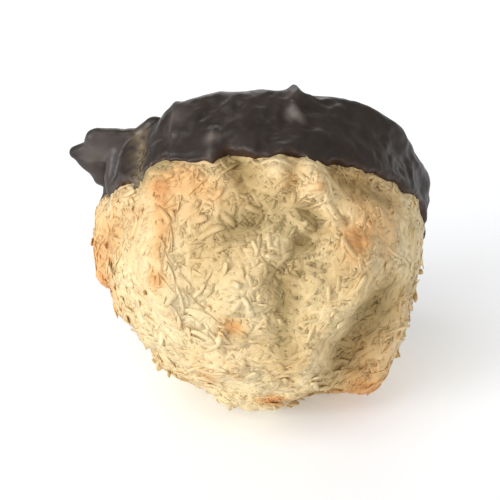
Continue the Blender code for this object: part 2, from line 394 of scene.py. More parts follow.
# The lip at the chocolate's edge: how wide it is, how deep its root and how thick it stays
LIP_REACH = 0.8
BURIED_DEPTH = 0.35
LEAST_COAT = 0.28

# Past its edge the coat drops inside the coconut, and what lies deeper than this is taken out
HIDDEN_DEPTH = 3.0
HIDDEN_REACH = 0.6
INSIDE_COCONUT = 1.0

# The flare all round the chocolate's rim: how far, at what height and how high. It starts
# this far from the axis and is full this much further out
FLARE = 0.45
FLARE_HEIGHT = -5.6
FLARE_REACH = 1.3
FLARE_START = 9
FLARE_RUN = 7

# Small pits that air has left in the flat chocolate underneath
PIT_COUNT = 34
PIT_SEED = 31
PIT_SPREAD = 16
PIT_REACH = (0.35, 0.8)
PIT_DEPTH = 0.7

# Drips that run over the chocolate: half width, rise, then turn and height along them
DRIPS = (
    (0.9, 0.8, (-10.5, -5.4), (-9.6, -3.8), (-9.4, -2.2)),
    (0.8, 0.8, (-9.6, -2.4), (-12.0, -1.2), (-13.6, 0.2)),
    (0.7, 0.8, (17.6, 0.8), (18.0, 2.6), (18.6, 5.2)),
    (0.8, 0.5, (32, -5.0), (31, -2.4), (33, 0.4)),
)

# Painted sheen that makes the foot paler: turn, distance from the axis, height, reach and
# strength
FOOT_SHEEN = (66, 23.0, -4.6, 3.6, 0.62)

# Paler clouds elsewhere, as chocolate gets when it blooms: their level, the clouds, drawn out as
# the chocolate ran, and painted sheen along the drips
BLOOM_LEVEL = -0.10
BLOOM_CLOUDS = (0.30, 2.8, 1.4)
CLOUDS_DRAWN_OUT = (1, 1, 0.35)
SHEEN_ON_DRIPS = 0.15

# The chocolate is thin this near its edge, and patchy like this where it is smeared
THIN_REACH = 1.0
PATCH_LEVEL = 0.6
PATCHES = (0.9, 0.9, 5.9)

# Painted glints, pale spots on the drips: turn, height, reach and strength
PAINTED_GLINTS = (
    (-9.4, -1.0, 0.7, 1.05),
    (-10.2, -4.4, 0.8, 0.40),
    (-13.2, -0.2, 0.5, 0.30),
    (18.0, 2.2, 0.65, 1.15),
    (18.6, 4.6, 0.5, 0.40),
    (31, -2.4, 0.7, 0.30),
    (50, -3.2, 0.8, 0.60),
)

# Where the oven has browned the coconut: turn, height, reach and strength
TOASTED = (
    (37, 7.8, 1.0, 0.06),
    (24, 14.5, 5.0, -0.08),
    (31, 4.8, 1.2, 0.12),
    (26, 7.0, 2.2, 0.16),
    (45, 3.6, 1.8, -0.34),
    (37, 4.2, 1.4, -0.30),
    (-11, 18.3, 1.5, -0.05),
    (-20, 21.3, 1.8, -0.08),
    (-41, 22.0, 2.0, -0.12),
    (0, 11.5, 2.0, -0.10),
    (-25, 17.0, 5.0, -0.10),
    (5, 17.0, 4.0, -0.06),
    # Browner here is partly browning and partly painted shade at the lower right
    (-108, 17.0, 2.6, 0.14),
    (-58, 21.0, 2.8, -0.10),
    (19, 10.0, 1.6, 0.18),
    (9, 11.4, 1.4, 0.14),
    (44, 6.0, 6.0, 0.12),
    (76, 6.0, 5.0, 0.14),
    (84, 4.5, 3.4, 0.20),
    (94, 7.0, 3.6, 0.23),
    (97, 7.6, 1.0, 0.40),
    (33, 21.3, 1.0, 0.55),
    (112, 21.1, 0.9, 0.50),
    (-175, 20.5, 1.4, 0.50),
    (-37, 13.7, 1.3, 0.42),
    (-45, 11.0, 3.4, 0.14),
    (-133, 15.5, 3.2, 0.40),
    (-13, 19.2, 1.6, 0.16),
    (-36, 19.8, 5.0, -0.16),
    # Browner here is painted shade under the chocolate's lip at the upper right
    (-36, 7.4, 3.2, 0.14),
    (50.5, -1.5, 2.2, 0.18),
)

# Painted shade on the coconut, lessened where the strength is below 0: turn, height, reach and
# strength
PAINTED_SHADE_SPOTS = (
    (-84, 17.0, 5.0, 0.32),
    (-106, 18.2, 2.4, -0.24),
    (21, 15.0, 6.0, 0.42),
    (-36, 6.6, 3.4, 0.30),
    (-24, 19.6, 5.0, 0.34),
    (-60, 22.0, 4.0, 0.20),
    (9, 7.0, 2.3, 0.42),
    (44, 3.4, 2.0, 0.85),
    (-137, 20.9, 2.2, 0.30),
    (104, 22.0, 1.6, -0.16),
    (90, 20.9, 2.6, 0.46),
    (-6, 7.5, 3.0, 0.20),
    (29, 15.5, 3.6, 0.12),
    (-41, 22.0, 2.0, 0.26),
    (-46, 17.6, 2.0, 0.22),
    (-31, 15.2, 2.2, 0.14),
    (0, 11.5, 2.0, 0.24),
    (36, 4.0, 1.5, 0.60),
    (-26, 16.6, 3.2, 0.26),
    (22, 16.1, 2.4, 0.24),
    (32, 21.8, 1.6, 0.22),
    (-60, 21.0, 2.6, 0.24),
    (39.5, 5.0, 1.5, 0.45),
    (42, 2.6, 1.0, 0.30),
    (-11, 18.3, 1.5, 0.14),
    (-20, 21.3, 1.8, 0.26),
    (-48, 22.0, 1.6, 0.20),
    (-38, 17.0, 2.0, 0.20),
    (32, 21.2, 1.5, 0.18),
    (12, 11.3, 2.4, -0.12),
    (-92, 9.0, 2.8, -0.36),
)

# Browned crests: half width, strength, then turn and height along the line
BROWNED = (
    (1.9, 0.32, (37, 7.4), (37, 8.6), (37, 10.4), (42, 12.7), (47, 14.3), (51, 16.0)),
    (1.4, 0.20, (51, 16.0), (57, 18.4), (64, 20.2)),
    (1.4, 0.16, (150, 20.6), (-175, 20.8), (-150, 20.4)),
)

# Colours by how baked the coconut is, and the painted shade that darkens its hollows and the gaps
# between strips
BAKED_STOPS = (
    (0.0, (0.82, 0.70, 0.44, 1)),
    (0.30, (0.80, 0.63, 0.36, 1)),
    (0.55, (0.76, 0.48, 0.215, 1)),
    (0.80, (0.66, 0.33, 0.125, 1)),
    (1.0, (0.34, 0.15, 0.055, 1)),
)
PAINTED_SHADE_STOPS = (
    (0.34, (1.0, 1.0, 1.0, 1)),
    (0.62, (0.82, 0.74, 0.62, 1)),
    (1.0, (0.46, 0.39, 0.26, 1)),
)

# How much specks change the baking, and how dark and light single strips are
SPECKS = 0.16
STRIP_SHADES = (0.93, 1.06)
COCONUT_ROUGHNESS = 0.5
COCONUT_SHINE = 0.25

# The chocolate's colours: clouded, thin at its edge, paler in clouds and with painted sheen and
# glints, and where shreds show through
CHOCOLATE_STOPS = (
    (0.3, (0.018, 0.012, 0.010, 1)),
    (0.75, (0.030, 0.021, 0.017, 1)),
)
THIN_CHOCOLATE = (0.075, 0.034, 0.018, 1)
THIN_SHARE = 0.55
BLOOM_AND_SHEEN_CHOCOLATE = (0.14, 0.115, 0.10, 1)
SHREDS_UNDER_CHOCOLATE = (0.22, 0.165, 0.10, 1)

# The chocolate's roughness where its clouds are darkest and palest
CLOUD_RANGE = (0.3, 0.7)
CHOCOLATE_ROUGHNESS = (0.33, 0.5)
CHOCOLATE_SHINE = 0.35

# Depth of the finest bumps in metres, and a mix node's two colour inputs and its output
GRAIN_DEPTH = 0.0002
MIX_UNDER, MIX_OVER, MIX_RESULT = 6, 7, 2

# The floor: half its size in metres, its looks, and how much it glows to stay pale
FLOOR_HALF = 6.0
FLOOR_COLOUR = (0.87, 0.90, 0.95, 1)
FLOOR_ROUGHNESS = 0.7
FLOOR_GLOW = 0.22

# Suns: name, where each shines from, strength, angle across in degrees and colour
COOL_WHITE = (0.98, 1.0, 1.03)
PLAIN_WHITE = (1.0, 1.0, 1.0)
SUNS = (
    ("key", (-0.82, -0.50, 0.27), 1.8, 28, COOL_WHITE),
    ("top", (-0.35, -0.40, 0.86), 0.8, 40, COOL_WHITE),
    ("front", (-0.25, -0.95, 0.12), 0.6, 40, PLAIN_WHITE),
    ("back", (-0.10, 0.93, 0.32), 0.6, 40, PLAIN_WHITE),
)
SKY_COLOUR = (1.0, 0.95, 0.88, 1)
SKY_STRENGTH = 0.50

# The camera: focal length and sensor in millimetres, aim and distance in metres
FOCAL_LENGTH = 250
SENSOR_WIDTH = 36
AIM = (0, 0, 0.0205)
CAMERA_DISTANCE = 0.445
CAMERA_ELEVATION = math.radians(30)


def turned(turn):
    """Unit vectors in the base plane at these turns."""
    turn = np.asarray(turn, float)
    return np.stack((-np.sin(turn), np.cos(turn), np.zeros_like(turn)), -1)


def form_points(directions):
    """Points and outward normals of the bare form, one for each unit vector."""
    upper = directions[:, 2] >= 0
    power = np.where(upper, DOME_POWER, BASE_POWER)
    height = np.where(upper, DOME_HEIGHT, BASE_DEPTH)
    level = np.hypot(directions[:, 0], directions[:, 1])
    rise = np.abs(directions[:, 2])
    size = (level**power + rise**power) ** (1 / power)
    half = np.column_stack((np.full((len(size), 2), HALF_WIDTH), height))
    unit = directions / size[:, None]
    level_slope = np.maximum(level / size, 1e-9) ** (power - 2)
    slope = np.column_stack(
        (
            unit[:, 0] * level_slope,
            unit[:, 1] * level_slope,
            np.sign(unit[:, 2]) * np.abs(unit[:, 2]) ** (power - 1),
        )
    )
    normals = slope / half
    return unit * half, normals / np.linalg.norm(normals, axis=1)[:, None]


def directions_of(points):
    """The unit vector whose form point lies in line with each point in space."""
    depth = np.where(points[:, 2] >= 0, DOME_HEIGHT, BASE_DEPTH)
    flat = points / np.column_stack((np.full((len(points), 2), HALF_WIDTH), depth))
    return flat / np.linalg.norm(flat, axis=1)[:, None]


def direction_at(turn, height):
    """Unit vectors whose form points stand at these heights, at these turns."""
    turn, height = np.broadcast_arrays(np.asarray(turn, float), np.asarray(height, float))
    full = np.where(height >= 0, DOME_HEIGHT, BASE_DEPTH)
    power = np.where(height >= 0, DOME_POWER, BASE_POWER)
    share = np.minimum(np.abs(height) / full, 0.999) ** power
    steep = np.copysign((share / (1 - share)) ** (1 / power), height)
    found = turned(turn)
    found[..., 2] = steep
    return found / np.hypot(1, steep)[..., None]


def noise_at(points, size, shift=0.0):
    """Smooth noise from -1 to 1 at each point, with features of about this size."""
    offset = np.array((shift, 2 * shift, -shift))
    return np.fromiter((noise.noise(p) for p in points / size + offset), float, len(points))


def layered(points, layers, start=0.0):
    """The start value at each point, with every layer of noise added."""
    out = np.zeros(len(points)) + start
    for depth, size, shift in layers:
        out += depth * noise_at(points, size, shift)
    return out


def places(rows):
    """The form point at the turn in degrees and the height that start each row."""
    table = np.array(rows, float)
    found, _ = form_points(direction_at(np.radians(table[:, 0]), table[:, 1]))
    return found, table


def seen_in_front(points):
    """1 on the side that faces the front when it lies down, fading to 0 behind."""
    facing = points[:, 1] * FRONT_Y + points[:, 2] * FRONT_Z
    return np.clip((facing + FRONT_FADE) / (2 * FRONT_FADE), 0, 1)


def near_places(points, rows, spread=1.0):
    """For each row, its last number and how close each form point is to its place, 0 to 1."""
    for centre, (_, _, reach, strength) in zip(*places(rows)):
        away = np.linalg.norm(points - centre, axis=1) / (spread * reach)
        yield strength, np.exp(-0.5 * away**2)


def sunken(points):
    """How much painted shade each form point gets, about 0 to 1: from the named hollows and
    troughs and from the listed spots of painted shade.
    """
    out = np.zeros(len(points))
    for rise, close in near_places(points, [row for row in FORMS if row[3] < 0], PAINTED_SHADE_SPREAD):
        out -= rise * close
    out -= along_lines(points, [row for row in FOLDS if row[1] < 0])
    out /= 2
    for strength, close in near_places(points, PAINTED_SHADE_SPOTS):
        out += strength * close
    return np.clip(out, 0, 1)


def along_lines(points, rows):
    """How far crests along each row's line raise the form points, or troughs lower them."""
    out = np.zeros(len(points))
    for reach, rise, *line in rows:
        path, _ = places(line)
        near = np.full(len(points), np.inf)
        for start, end in zip(path, path[1:]):
            run = end - start
            share = np.clip((points - start) @ run / (run @ run), 0, 1)
            away = np.linalg.norm(points - start - share[:, None] * run, axis=1)
            near = np.minimum(near, away)
        if rise > 0:
            out += rise * np.clip(1 - np.hypot(near, CREST_ROUND) / reach, 0, 1) ** CREST_POWER
        else:
            out += rise * np.clip(1 - (near / reach) ** 2, 0, 1) ** 2
    return out


def creases(points):
    """How deep in the folds between clumps each form point is, from 0 to 1."""
    wander = np.array([noise.noise_vector(p) for p in points / WANDER_SIZE])
    bent = points / CLUMP_SIZE + CREASE_WANDER * wander
    apart = np.array([noise.voronoi(p)[0][:2] for p in bent])
    return np.exp(-(((apart[:, 1] - apart[:, 0]) / CREASE_WIDTH) ** 2))


def crags(points):
    """How far the baked surface stands out from the bare form at each form point."""
    out = layered(points, CRAG_LAYERS)
    out -= CREASE_DEPTH * creases(points) * (1 - SHALLOWER_IN_FRONT * seen_in_front(points))
    for rise, close in near_places(points, FORMS):
        out += rise * close
    return out + along_lines(points, FOLDS)


def toasting(points, crag):
    """How browned the coconut is at each form point, about 0 to 1, and more on crests."""
    out = layered(points, TOAST_LAYERS, PLAIN_TOAST)
    out += TOAST_ON_CRAGS * np.clip(crag, -1.0, 1.5) + along_lines(points, BROWNED)
    for strength, close in near_places(points, TOASTED):
        out += strength * close
    return out


def painted_shade(points, crag, height):
    """How much painted shade darkens the coconut at this height over each form point, about 0 to
    1: more deeper down between strips, in hollows and on low crags.
    """
    out = PLAIN_PAINTED_SHADE + PAINTED_SHADE_BY_HEIGHT * height
    return out + PAINTED_SHADE_BY_SUNKEN * sunken(points) + PAINTED_SHADE_BY_CRAG * crag


def dip_height(turn):
    """Height of the chocolate's ragged edge at each turn round the axis."""
    ragged = sum(rise * np.sin(waves * turn + shift) for rise, waves, shift in DIP_WAVES)
    degrees = (np.degrees(turn) + 180) % 360 - 180
    notch = NOTCH_DEPTH * np.exp(-(((degrees - THIN_STRIP) / NOTCH_WIDTH) ** 2))
    wilder = 1 + WILDER_BY * np.clip((np.abs(degrees) - WILDER_FROM) / WILDER_OVER, 0, 1)
    return np.interp(degrees, *zip(*DIP_EDGE)) + DIP_RAGGED * wilder * ragged - notch


def turn_of(points):
    """The turn round the axis at which each point lies."""
    return np.arctan2(-points[:, 0], points[:, 1])


def smeared(points):
    """How thin the chocolate is where shreds show through it, 0 to 1, at each form point."""
    beside = (np.degrees(turn_of(points)) - THIN_STRIP) / STRIP_WIDTH
    return np.exp(-(beside**2)) * np.clip((points[:, 2] - STRIP_START) / STRIP_FADE, 0, 1)


def laid_down(points):
    """The macaroon's own frame, base down, turned to how it lies on the floor."""
    tilt = math.pi / 2 + LEAN
    cos, sin = math.cos(tilt), math.sin(tilt)
    x, y, z = points.T
    return np.column_stack((x, y * cos - z * sin, y * sin + z * cos)) + MIDDLE


def kept_inside(points):
    """Points laid down, none of them outside the solid model's own box."""
    low = np.array(cad_box[0]) / MM + BOX_GAP
    high = np.array(cad_box[1]) / MM - BOX_GAP
    low[2] = 0.0
    return np.clip(points, low, high)


def mesh_piece(name, points, faces, colours=None):
    """A new mesh from points in millimetres and faces that all have as many corners."""
    mesh = bpy.data.meshes.new(name)
    mesh.vertices.add(len(points))
    mesh.vertices.foreach_set("co", (points * MM).astype(np.float32).ravel())
    faces = np.asarray(faces, np.int32)
    mesh.loops.add(faces.size)
    mesh.loops.foreach_set("vertex_index", faces.ravel())
    mesh.polygons.add(len(faces))
    corners = faces.shape[1]
    starts = np.arange(0, faces.size, corners, dtype=np.int32)
    mesh.polygons.foreach_set("loop_start", starts)
    mesh.update(calc_edges=True)
    if colours is not None:
        paint(mesh, colours)
    piece = bpy.data.objects.new(name, mesh)
    bpy.context.scene.collection.objects.link(piece)
    return piece


def lay_down(piece, points, colours):
    """Moves the piece's points to how it lies, inside the box, and paints them."""
    laid = kept_inside(laid_down(points))
    piece.data.vertices.foreach_set("co", (laid * MM).astype(np.float32).ravel())
    paint(piece.data, colours)
    piece.data.update()


def paint(mesh, colours):
    """Stores three values from 0 to 1 for each point, which the materials read.

    They are toasting, painted shade and chance for coconut, and thinness, paleness (clouds,
    painted sheen and glints) and how patchy it is for chocolate.
    """
    layer = mesh.color_attributes.new("bake", "FLOAT_COLOR", "POINT")
    full = np.column_stack((np.clip(colours, 0, 1), np.ones(len(colours))))
    layer.data.foreach_set("color", full.astype(np.float32).ravel())


def shred_set(count, seed, sunk, proud, lift, drape, width, length, deep, rings=5, dipped=False):
    """Strips of coconut over the bare dome: their points, faces and colours.

    Their middles lie between sunk and proud from the surface, their ends lift by up to
    lift, and drape is how closely they follow the surface. Dipped strips are those that
    show through the chocolate.
    """
    rng = np.random.default_rng(seed)
    found = []
    while sum(len(d) for d in found) < count:
        tried = rng.normal(size=(count, 3))
        tried /= np.linalg.norm(tried, axis=1)[:, None]
        bare, _ = form_points(tried)
        below = bare[:, 2] < dip_height(turn_of(bare)) + CLEAR_OF_DIP
        under_thin = below & (smeared(bare) > MOSTLY_SMEARED)
        found.append(tried[under_thin if dipped else ~below])
    directions = np.concatenate(found)[:count]
    bare, normals = form_points(directions)
    feet = bare + normals * crags(bare)[:, None]

    spare = rng.normal(size=(count, 3))
    along = np.cross(normals, spare)
    along /= np.linalg.norm(along, axis=1)[:, None]
    across = np.cross(normals, along)
    wide = rng.uniform(*width, count) / 2
    long = rng.uniform(*length, count) / 2
    thick = rng.uniform(*deep, count) / 2
    base = rng.uniform(sunk, proud, count)
    tilt = rng.uniform(-lift, lift, count)
    curl = rng.uniform(*CURL, count) * lift
    bend = rng.normal(0, BEND, count)
    roll = rng.normal(0, ROLL, count)
    twist = rng.normal(0, TWIST, count)
    chance = rng.uniform(0, 1, count)

    outlines, colours = [], []
    for step in np.linspace(-1, 1, rings):
        run = step * long
        centre = feet + along * run[:, None] + across * (bend * run**2)[:, None]
        under, up = form_points(directions_of(centre))
        crag = crags(under)
        surface = under + up * crag[:, None]
        centre = centre * (1 - drape) + surface * drape
        height = base + tilt * step + curl * step**2
        centre += up * height[:, None]
        forward = along + across * (2 * bend * run)[:, None]
        forward -= up * np.sum(forward * up, axis=1)[:, None]
        forward /= np.linalg.norm(forward, axis=1)[:, None]
        side = np.cross(up, forward)
        angle = roll + twist * step
        flat = side * np.cos(angle)[:, None] + up * np.sin(angle)[:, None]
        over = np.cross(forward, flat)
        taper = 1 - TAPER * abs(step) ** 3
        half_wide = (wide * taper)[:, None]
        half_thick = (thick * taper)[:, None]
        corners = [
            centre - flat * half_wide - over * half_thick,
            centre + flat * half_wide - over * half_thick,
            centre + flat * half_wide + over * half_thick,
            centre - flat * half_wide + over * half_thick,
        ]
        outlines.append(np.stack(corners, 1))
        if dipped:
            look = (0 * chance, 0 * chance, LEAST_PATCHY + (1 - LEAST_PATCHY) * chance)
        else:
            toast = toasting(under, crag) + TOAST_BY_CHANCE * (chance - 0.5)
            toast += TOAST_ON_HIGH_STRIPS * np.clip(height, -1, 1.5)
            toast += TOAST_AT_RAISED_TIPS * abs(step) ** 2 * (height > RAISED)
            # The second value is painted shade
            look = (toast, painted_shade(under, crag, height), chance)
        colours.append(np.repeat(np.column_stack(look)[:, None], 4, 1))
    points = np.stack(outlines, 1).reshape(-1, 3)
    colours = np.stack(colours, 1).reshape(-1, 3)

    per_shred = 4 * rings
    start = np.arange(count)[:, None, None] * per_shred
    ring = np.arange(rings - 1)[None, :, None] * 4
    corner = np.arange(4)[None, None, :]
    following = (corner + 1) % 4
    a, b = start + ring + corner, start + ring + following
    walls = np.stack((a, b, b + 4, a + 4), -1).reshape(-1, 4)
    caps_low = (start[:, 0] + np.array((3, 2, 1, 0))).reshape(-1, 4)
    caps_high = (start[:, 0] + per_shred - 4 + np.array((0, 1, 2, 3))).reshape(-1, 4)
    quads = np.concatenate((walls, caps_low, caps_high))
    keep = clear_of_chocolate(points, per_shred)
    return selected(points, quads, colours, keep, per_shred)


def clear_of_chocolate(points, per_shred):
    """Which strips stay clear of the chocolate, and of the floor and the box's sides."""
    under, _ = form_points(directions_of(points))
    lowest = -CLEAR_OF_DIP - DIPPED_REACH * (smeared(under) > PARTLY_SMEARED)
    above = under[:, 2] - dip_height(turn_of(under)) > lowest
    laid = laid_down(points)
    low = np.array(cad_box[0]) / MM - BOX_SLACK
    high = np.array(cad_box[1]) / MM + BOX_SLACK
    inside = np.all((laid > low) & (laid < high), axis=1)
    good = (above & inside).reshape(-1, per_shred)
    return np.all(good, axis=1)


def selected(points, quads, colours, keep, per_shred):
    """Only the strips that are kept, with their faces renumbered."""
    number = np.cumsum(keep) - 1
    owner = quads[:, 0] // per_shred
    faces = quads[keep[owner]]
    faces = faces - (faces[:, :1] // per_shred - number[faces[:, :1] // per_shred]) * per_shred
    mask = np.repeat(keep, per_shred)
    return points[mask], faces, colours[mask]


def applied(piece):
    """Gives the piece the mesh that its modifiers make."""
    bpy.context.view_layer.update()
    graph = bpy.context.evaluated_depsgraph_get()
    mesh = bpy.data.meshes.new_from_object(piece.evaluated_get(graph))
    piece.modifiers.clear()
    piece.data = mesh


def points_of(piece):
    """The piece's points in millimetres, and where each of them lies over the bare form."""
    found = np.zeros(len(piece.data.vertices) * 3, np.float32)
    piece.data.vertices.foreach_get("co", found)
    points = found.reshape(-1, 3).astype(float) / MM
    return points, *form_points(directions_of(points))


def even_ball(detail):
    """Unit vectors spread evenly, and the triangles between them."""
    ball = bmesh.new()
    bmesh.ops.create_icosphere(ball, subdivisions=detail, radius=1)
    directions = np.array([v.co[:] for v in ball.verts])
    triangles = np.array([[v.index for v in f.verts] for f in ball.faces])
    ball.free()
    return directions / np.linalg.norm(directions, axis=1)[:, None], triangles


def melted(piece, cell, rounds):
    """Fuses everything in the piece into one skin and smooths it a little."""
    remesh = piece.modifiers.new("Melt", "REMESH")
    remesh.mode = "VOXEL"
    remesh.voxel_size = cell * MM
    smooth = piece.modifiers.new("Soften", "SMOOTH")
    smooth.factor = 0.5
    smooth.iterations = rounds
    applied(piece)


def without(piece, hidden):
    """Takes the points marked hidden out of the piece."""
    work = bmesh.new()
    work.from_mesh(piece.data)
    work.verts.ensure_lookup_table()
    bmesh.ops.delete(work, geom=[work.verts[i] for i in np.where(hidden)[0]], context="VERTS")
    work.to_mesh(piece.data)
    work.free()


def joined(parts):
    """The first piece, with the others made part of it."""
    with bpy.context.temp_override(
        active_object=parts[0], selected_editable_objects=parts, selected_objects=parts
    ):
        bpy.ops.object.join()
    return parts[0]


def fused_mound():
    """The dense mass: the craggy dome with its sunken shreds melted into one skin."""
    directions, triangles = even_ball(FORM_DETAIL)
    bare, normals = form_points(directions)
    surface = bare + normals * (crags(bare) - CORE_DEPTH)[:, None]
    core = mesh_piece("coconut_mass", surface, triangles)
    points, quads, _ = shred_set(**SUNKEN_SHREDS)
    core = joined([core, mesh_piece("strips", points, quads)])
    melted(core, MASS_CELL, 1)
    _, under, _ = points_of(core)
    without(core, under[:, 2] < dip_height(turn_of(under)) - MASS_UNDER_DIP)

    made, under, up = points_of(core)
    crag = crags(under)
    height = np.sum((made - under) * up, axis=1) - crag
    toast = toasting(under, crag) + TOAST_STANDING_OUT * np.clip(height + 0.1, -1, 1)
    shades = layered(made, [MASS_SHADES], 0.5)
    # The second value is painted shade
    lay_down(core, made, np.column_stack((toast, painted_shade(under, crag, height), shades)))
    return core


def loose_shreds(name, shreds):
    """One piece of separate strips lying on and standing out of the mass."""
    points, quads, colours = shred_set(**shreds)
    return mesh_piece(name, kept_inside(laid_down(points)), quads, colours)


def coat_edge(points):
    """How far below the chocolate's ragged edge each form point is."""
    return layered(points, EDGE_LAYERS, dip_height(turn_of(points))) - points[:, 2]


def pits(bare):
    """How deep the small round pits in the base are at each form point."""
    rng = np.random.default_rng(PIT_SEED)
    out = np.zeros(len(bare))
    for _ in range(PIT_COUNT):
        middle = rng.uniform(-PIT_SPREAD, PIT_SPREAD, 2)
        reach = rng.uniform(*PIT_REACH)
        away = np.linalg.norm(bare[:, :2] - middle, axis=1) / reach
        out += PIT_DEPTH * reach * np.exp(-(away**2))
    return out


def coat_outside(bare, crag, from_edge):
    """How far the chocolate stands out from the bare form."""
    flank = np.clip((bare[:, 2] + BASE_DEPTH) / (FLANK_AFTER * BASE_DEPTH), 0, 1)
    lumps = layered(bare, COAT_LUMP_LAYERS)
    ridges = RIDGE_LEVEL - np.abs(layered(bare, [RIDGES]))
    fine = layered(bare, [FINE_LUMPS])
    out = COAT_THICKNESS - THINNER_ON_FLANK * flank
    out += (lumps + ridges + fine) * (LUMPS_ON_BASE + (1 - LUMPS_ON_BASE) * flank)
    ripples = layered(bare, [RIPPLES]) + layered(bare * RUNS_DRAWN_OUT, [RUNS])
    out += (ripples - pits(bare)) * (1 - flank)
    out += COAT_ON_CRAGS * np.clip(crag, -0.5, 1.2) * flank
    thinned = SMEARED_SHARE * smeared(bare)
    through = layered(bare, [THROUGH], crag + THROUGH_LEVEL)
    out = out * (1 - thinned) + through * thinned
    for rise, close in near_places(bare, COAT_LUMPS):
        out += rise * close
    out += along_lines(bare, DRIPS)

    # The edge is a rounded lip that stays above the coconut, and below it the coat is buried
    lip = np.clip(from_edge / LIP_REACH, 0, 1)
    rounded = np.sqrt(np.clip(1 - (1 - lip) ** 2, 0, 1))
    buried = crag * flank - BURIED_DEPTH
    out = buried + (np.maximum(out, crag * flank + LEAST_COAT) - buried) * rounded
    return out - HIDDEN_DEPTH * np.clip(-from_edge / HIDDEN_REACH, 0, 1)


def foot_drops():
    """The flattened balls that the foot is melted together from: middles and radii."""
    found = []
    for path in FOOT:
        for (t0, r0, z0, s0), (t1, r1, z1, s1) in zip(path, path[1:]):
            for share in np.linspace(0, 1, DROPS_PER_RUN):
                turn = math.radians(t0 + (t1 - t0) * share)
                out = r0 + (r1 - r0) * share
                centre = turned(turn) * out + (0, 0, z0 + (z1 - z0) * share)
                radius = s0 + (s1 - s0) * share
                flat = FLATTENED * radius + LEAST_FLAT
                found.append((centre, np.array((radius, radius, flat))))
    return found


def flared(bare):
    """How far the chocolate's rim runs out level at each form point."""
    angles = turn_of(bare)
    round_rim = np.hypot(bare[:, 0], bare[:, 1])
    flare = FLARE * np.exp(-0.5 * ((bare[:, 2] - FLARE_HEIGHT) / FLARE_REACH) ** 2)
    for turn, reach, middle, half, length in FEET:
        apart = (angles - math.radians(turn) + math.pi) % (2 * math.pi) - math.pi
        beside = apart * round_rim / reach
        above = (bare[:, 2] - middle) / half
        away = (beside**2 + above**2) ** RUN_OUT_SQUARE
        flare += length * np.exp(-RUN_OUT_RATE * away)
    return flare * np.clip((round_rim - FLARE_START) / FLARE_RUN, 0, 1)


def bloom_and_sheen(made, under):
    """How pale the chocolate is at each of its points, over these form points: clouds as
    chocolate gets when it blooms, with painted sheen and glints.
    """
    cloud = layered(made * CLOUDS_DRAWN_OUT, [BLOOM_CLOUDS], BLOOM_LEVEL)
    # Painted sheen along the drips
    cloud += SHEEN_ON_DRIPS * np.clip(along_lines(under, DRIPS), 0, 1)
    # Painted glints at the listed spots
    for strength, close in near_places(under, PAINTED_GLINTS):
        cloud += strength * close
    # Painted sheen that pales the foot
    turn, away, height, reach, strength = FOOT_SHEEN
    pale = turned(math.radians(turn)) * away + (0, 0, height)
    return cloud + strength * np.exp(-(np.linalg.norm(made - pale, axis=1) / reach) ** 2)


def coat():
    """The chocolate: lumpy over the shreds, nearly flat underneath, with its foot."""
    directions, triangles = even_ball(FORM_DETAIL)
    bare, normals = form_points(directions)
    out = coat_outside(bare, crags(bare), coat_edge(bare))
    outward = bare * (1, 1, 0)
    outward /= np.maximum(np.linalg.norm(outward, axis=1), 1e-9)[:, None]
    points = bare + normals * out[:, None] + outward * flared(bare)[:, None]
    parts = [mesh_piece("chocolate_dip", points, triangles)]
    ball, faces = even_ball(DROP_DETAIL)
    for centre, radii in foot_drops():
        wobble = layered(ball * radii + centre, [DROP_WOBBLE], 1.0)
        parts.append(mesh_piece("drop", centre + ball * radii * wobble[:, None], faces))
    piece = joined(parts)
    melted(piece, COAT_CELL, 2)
    made, under, up = points_of(piece)
    height = np.sum((made - under) * up, axis=1)
    without(piece, height < crags(under) - INSIDE_COCONUT)

    made, under, _ = points_of(piece)
    thin = np.clip(1 - coat_edge(under) / THIN_REACH, 0, 1)
    patchy = np.clip(layered(made, [PATCHES], PATCH_LEVEL), 0, 1) * smeared(under)
    lay_down(piece, made, np.column_stack((thin, bloom_and_sheen(made, under), patchy)))
    return piece


def shader_of(name):
    """A new material, its node tree and its shader."""
    made = bpy.data.materials.new(name)
    made.use_nodes = True
    tree = made.node_tree
    return made, tree, tree.nodes["Principled BSDF"]


def feed(tree, socket, value):
    """Sets an input to this value, or links it where the value is a node's output."""
    if isinstance(value, bpy.types.NodeSocket):
        tree.links.new(value, socket)
    else:
        socket.default_value = value


def texture(tree, scale, detail):
    """Noise that stays put on the piece, with this many features a metre."""
    where = tree.nodes.new("ShaderNodeTexCoord")
    made = tree.nodes.new("ShaderNodeTexNoise")
    made.inputs["Scale"].default_value = scale
    made.inputs["Detail"].default_value = detail
    tree.links.new(where.outputs["Object"], made.inputs["Vector"])
    return made.outputs["Fac"]


def painted(tree):
    """The three values that are stored on the mesh."""
    bake = tree.nodes.new("ShaderNodeVertexColor")
    bake.layer_name = "bake"
    parts = tree.nodes.new("ShaderNodeSeparateColor")
    tree.links.new(bake.outputs["Color"], parts.inputs["Color"])
    return parts.outputs["Red"], parts.outputs["Green"], parts.outputs["Blue"]


def worked_out(tree, operation, *values):
    """The result of one sum on these values."""
    made = tree.nodes.new("ShaderNodeMath")
    made.operation = operation
    for socket, value in zip(made.inputs, values):
        feed(tree, socket, value)
    return made.outputs["Value"]


def ramp_of(tree, value, stops):
    """The colour at this value, blended between the stops."""
    made = tree.nodes.new("ShaderNodeValToRGB")
    elements = made.color_ramp.elements
    first, *between, last = stops
    elements[0].position, elements[0].color = first
    elements[1].position, elements[1].color = last
    for position, colour in between:
        elements.new(position).color = colour
    feed(tree, made.inputs["Fac"], value)
    return made.outputs["Color"]


